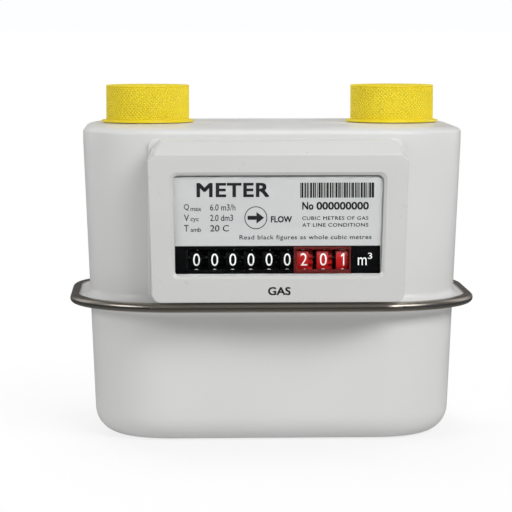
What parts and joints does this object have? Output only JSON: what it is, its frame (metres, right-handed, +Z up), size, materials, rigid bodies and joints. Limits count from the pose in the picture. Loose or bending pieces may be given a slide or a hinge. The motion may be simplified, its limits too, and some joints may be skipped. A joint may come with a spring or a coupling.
{
  "type": "gas meter",
  "caption": "Domestic diaphragm gas meter: a two-part off-white steel case joined by a dark clamp band, two capped top connections on 130 mm centres and a front index box with a nine-drum counter.",
  "frame": {"origin": "centre of the flat bottom of the case, under the middle of the line between the two pipe axes", "axes": "+X from inlet to outlet, to the right of someone who reads the index; +Y towards the back; +Z up, along the two connections"},
  "size_m": [0.212, 0.176, 0.182],
  "materials": {
    "case_paint": "smooth off-white powder coat",
    "band_steel": "dark stainless, brushed along its length",
    "spigot_steel": "zinc plated steel",
    "cap_plastic": "yellow polyethylene, knurled",
    "index_plastic": "off-white moulded plastic",
    "window_clear": "clear polycarbonate",
    "seal_rubber": "black rubber",
    "dial_white": "printed white plate",
    "mask_black": "black plastic",
    "drum_black": "black plastic, white numerals",
    "drum_red": "red plastic, white numerals",
    "frame_red": "red plastic",
    "frame_plastic": "dark grey plastic",
    "gear_plastic": "natural acetal",
    "pin_steel": "bright steel",
    "bushing_brass": "turned",
    "chamber_plastic": "dark blue plastic",
    "diaphragm_rubber": "rubber coated fabric",
    "disc_aluminium": "pressed plate",
    "rod_steel": "stainless"
  },
  "bodies": {
    "case": {"lower_case": "case_paint", "upper_case": "case_paint", "case_gasket": "seal_rubber", "window_gasket": "seal_rubber", "outlet_seal": "seal_rubber", "clamp_band": "band_steel", "inlet_spigot": "spigot_steel", "outlet_spigot": "spigot_steel", "index_housing": "index_plastic", "index_bezel": "index_plastic", "index_window": "window_clear", "dial_plate": "dial_white", "counter_mask": "mask_black", "decimal_frame": "frame_red", "counter_frame": "frame_plastic", "movement_bracket": "frame_plastic", "drum_axle": "pin_steel", "pinion_axle": "pin_steel", "index_screws": "pin_steel", "chamber_screws": "pin_steel", "shaft_bushing": "bushing_brass", "chamber_body": "chamber_plastic", "front_chamber_cover": "chamber_plastic", "rear_chamber_cover": "chamber_plastic", "outlet_tube": "chamber_plastic", "valve_seat": "chamber_plastic", "front_diaphragm": "diaphragm_rubber", "rear_diaphragm": "diaphragm_rubber"},
    "inlet_cap": {"inlet_cap": "cap_plastic"},
    "outlet_cap": {"outlet_cap": "cap_plastic"},
    "crank": {"crank": "gear_plastic", "rotary_valve": "chamber_plastic"},
    "index_drive_shaft": {"index_drive_shaft": "rod_steel"},
    "index_layshaft": {"index_layshaft": "gear_plastic"},
    "number_drum_9": {"number_drum_9": "drum_red"},
    "number_drum_8": {"number_drum_8": "drum_red"},
    "number_drum_7": {"number_drum_7": "drum_red"},
    "number_drum_6": {"number_drum_6": "drum_black"},
    "number_drum_5": {"number_drum_5": "drum_black"},
    "number_drum_4": {"number_drum_4": "drum_black"},
    "number_drum_3": {"number_drum_3": "drum_black"},
    "number_drum_2": {"number_drum_2": "drum_black"},
    "number_drum_1": {"number_drum_1": "drum_black"},
    "transfer_pinion_8": {"transfer_pinion_8": "gear_plastic"},
    "transfer_pinion_7": {"transfer_pinion_7": "gear_plastic"},
    "transfer_pinion_6": {"transfer_pinion_6": "gear_plastic"},
    "transfer_pinion_5": {"transfer_pinion_5": "gear_plastic"},
    "transfer_pinion_4": {"transfer_pinion_4": "gear_plastic"},
    "transfer_pinion_3": {"transfer_pinion_3": "gear_plastic"},
    "transfer_pinion_2": {"transfer_pinion_2": "gear_plastic"},
    "transfer_pinion_1": {"transfer_pinion_1": "gear_plastic"},
    "front_flag_rod": {"front_flag_rod": "rod_steel", "front_flag_arm": "rod_steel"},
    "rear_flag_rod": {"rear_flag_rod": "rod_steel", "rear_flag_arm": "rod_steel"},
    "front_diaphragm_disc": {"front_diaphragm_disc": "disc_aluminium"},
    "rear_diaphragm_disc": {"rear_diaphragm_disc": "disc_aluminium"},
    "front_link": {"front_link": "rod_steel"},
    "rear_link": {"rear_link": "rod_steel"}
  },
  "joints": [
    {"name": "inlet_cap_pull", "type": "slide", "parent": "case", "child": "inlet_cap", "axis": [0, 0, 1], "range_m": [0, 0.06]},
    {"name": "outlet_cap_pull", "type": "slide", "parent": "case", "child": "outlet_cap", "axis": [0, 0, 1], "range_m": [0, 0.06]},
    {"name": "crank_turn", "type": "hinge", "parent": "case", "child": "crank", "pos_m": [0.04, -0.022, 0.12], "axis": [0, 0, 1], "continuous": true},
    {"name": "drive_shaft_turn", "type": "hinge", "parent": "case", "child": "index_drive_shaft", "pos_m": [0.04, -0.05, 0.124], "axis": [0, 1, 0], "continuous": true},
    {"name": "layshaft_turn", "type": "hinge", "parent": "case", "child": "index_layshaft", "pos_m": [0.04, -0.0817, 0.115], "axis": [0, 0, 1], "continuous": true},
    {"name": "drum_9_turn", "type": "hinge", "parent": "case", "child": "number_drum_9", "pos_m": [0.0318, -0.0817, 0.0973], "axis": [1, 0, 0], "continuous": true},
    {"name": "drum_8_turn", "type": "hinge", "parent": "case", "child": "number_drum_8", "pos_m": [0.0221, -0.0817, 0.0973], "axis": [1, 0, 0], "continuous": true},
    {"name": "drum_7_turn", "type": "hinge", "parent": "case", "child": "number_drum_7", "pos_m": [0.0124, -0.0817, 0.0973], "axis": [1, 0, 0], "continuous": true},
    {"name": "drum_6_turn", "type": "hinge", "parent": "case", "child": "number_drum_6", "pos_m": [0.0041, -0.0817, 0.0973], "axis": [1, 0, 0], "continuous": true},
    {"name": "drum_5_turn", "type": "hinge", "parent": "case", "child": "number_drum_5", "pos_m": [-0.00494, -0.0817, 0.0973], "axis": [1, 0, 0], "continuous": true},
    {"name": "drum_4_turn", "type": "hinge", "parent": "case", "child": "number_drum_4", "pos_m": [-0.01398, -0.0817, 0.0973], "axis": [1, 0, 0], "continuous": true},
    {"name": "drum_3_turn", "type": "hinge", "parent": "case", "child": "number_drum_3", "pos_m": [-0.02302, -0.0817, 0.0973], "axis": [1, 0, 0], "continuous": true},
    {"name": "drum_2_turn", "type": "hinge", "parent": "case", "child": "number_drum_2", "pos_m": [-0.03206, -0.0817, 0.0973], "axis": [1, 0, 0], "continuous": true},
    {"name": "drum_1_turn", "type": "hinge", "parent": "case", "child": "number_drum_1", "pos_m": [-0.0411, -0.0817, 0.0973], "axis": [1, 0, 0], "continuous": true},
    {"name": "pinion_8_turn", "type": "hinge", "parent": "case", "child": "transfer_pinion_8", "pos_m": [0.0261, -0.07578, 0.10999], "axis": [1, 0, 0], "continuous": true},
    {"name": "pinion_7_turn", "type": "hinge", "parent": "case", "child": "transfer_pinion_7", "pos_m": [0.0164, -0.07578, 0.10999], "axis": [1, 0, 0], "continuous": true},
    {"name": "pinion_6_turn", "type": "hinge", "parent": "case", "child": "transfer_pinion_6", "pos_m": [0.0081, -0.07578, 0.10999], "axis": [1, 0, 0], "continuous": true},
    {"name": "pinion_5_turn", "type": "hinge", "parent": "case", "child": "transfer_pinion_5", "pos_m": [-0.00094, -0.07578, 0.10999], "axis": [1, 0, 0], "continuous": true},
    {"name": "pinion_4_turn", "type": "hinge", "parent": "case", "child": "transfer_pinion_4", "pos_m": [-0.00998, -0.07578, 0.10999], "axis": [1, 0, 0], "continuous": true},
    {"name": "pinion_3_turn", "type": "hinge", "parent": "case", "child": "transfer_pinion_3", "pos_m": [-0.01902, -0.07578, 0.10999], "axis": [1, 0, 0], "continuous": true},
    {"name": "pinion_2_turn", "type": "hinge", "parent": "case", "child": "transfer_pinion_2", "pos_m": [-0.02806, -0.07578, 0.10999], "axis": [1, 0, 0], "continuous": true},
    {"name": "pinion_1_turn", "type": "hinge", "parent": "case", "child": "transfer_pinion_1", "pos_m": [-0.0371, -0.07578, 0.10999], "axis": [1, 0, 0], "continuous": true},
    {"name": "front_flag_swing", "type": "hinge", "parent": "case", "child": "front_flag_rod", "pos_m": [-0.04, -0.019, 0.09], "axis": [0, 0, 1], "range_deg": [-20.49, 20.49]},
    {"name": "rear_flag_swing", "type": "hinge", "parent": "case", "child": "rear_flag_rod", "pos_m": [-0.04, 0.019, 0.09], "axis": [0, 0, 1], "range_deg": [-40.97, 0]},
    {"name": "front_disc_stroke", "type": "slide", "parent": "case", "child": "front_diaphragm_disc", "axis": [0, 1, 0], "range_m": [-0.014, 0.014]},
    {"name": "rear_disc_stroke", "type": "slide", "parent": "case", "child": "rear_diaphragm_disc", "axis": [0, 1, 0], "range_m": [-0.028, 0]},
    {"name": "front_link_turn", "type": "hinge", "parent": "front_flag_rod", "child": "front_link", "pos_m": [-0.02503, -0.05174, 0.1418], "axis": [0, 0, 1], "range_deg": [-20.49, 20.49]},
    {"name": "rear_link_turn", "type": "hinge", "parent": "rear_flag_rod", "child": "rear_link", "pos_m": [-0.02186, 0.0501, 0.1454], "axis": [0, 0, 1], "range_deg": [0, 40.97]}
  ],
  "couplings": [
    {"joint": "drive_shaft_turn", "follows": "crank_turn", "ratio": 0.5},
    {"joint": "layshaft_turn", "follows": "crank_turn", "ratio": 0.25},
    {"joint": "drum_9_turn", "follows": "crank_turn", "ratio": 0.1},
    {"joint": "drum_8_turn", "follows": "crank_turn", "ratio": 0.01},
    {"joint": "drum_7_turn", "follows": "crank_turn", "ratio": 0.001},
    {"joint": "drum_6_turn", "follows": "crank_turn", "ratio": 0.0001},
    {"joint": "drum_5_turn", "follows": "crank_turn", "ratio": 0.00001},
    {"joint": "drum_4_turn", "follows": "crank_turn", "ratio": 0.000001},
    {"joint": "drum_3_turn", "follows": "crank_turn", "ratio": 0.0000001},
    {"joint": "drum_2_turn", "follows": "crank_turn", "ratio": 0.00000001},
    {"joint": "drum_1_turn", "follows": "crank_turn", "ratio": 0.000000001},
    {"joint": "pinion_8_turn", "follows": "crank_turn", "ratio": -0.025},
    {"joint": "pinion_7_turn", "follows": "crank_turn", "ratio": -0.0025},
    {"joint": "pinion_6_turn", "follows": "crank_turn", "ratio": -0.00025},
    {"joint": "pinion_5_turn", "follows": "crank_turn", "ratio": -0.000025},
    {"joint": "pinion_4_turn", "follows": "crank_turn", "ratio": -0.0000025},
    {"joint": "pinion_3_turn", "follows": "crank_turn", "ratio": -0.00000025},
    {"joint": "pinion_2_turn", "follows": "crank_turn", "ratio": -0.000000025},
    {"joint": "pinion_1_turn", "follows": "crank_turn", "ratio": -0.0000000025},
    {"joint": "front_disc_stroke", "follows": "front_flag_swing", "m_per_rad": 0.039153},
    {"joint": "rear_disc_stroke", "follows": "rear_flag_swing", "m_per_rad": 0.039153},
    {"joint": "front_link_turn", "follows": "front_flag_swing", "ratio": -1},
    {"joint": "rear_link_turn", "follows": "rear_flag_swing", "ratio": -1}
  ]
}
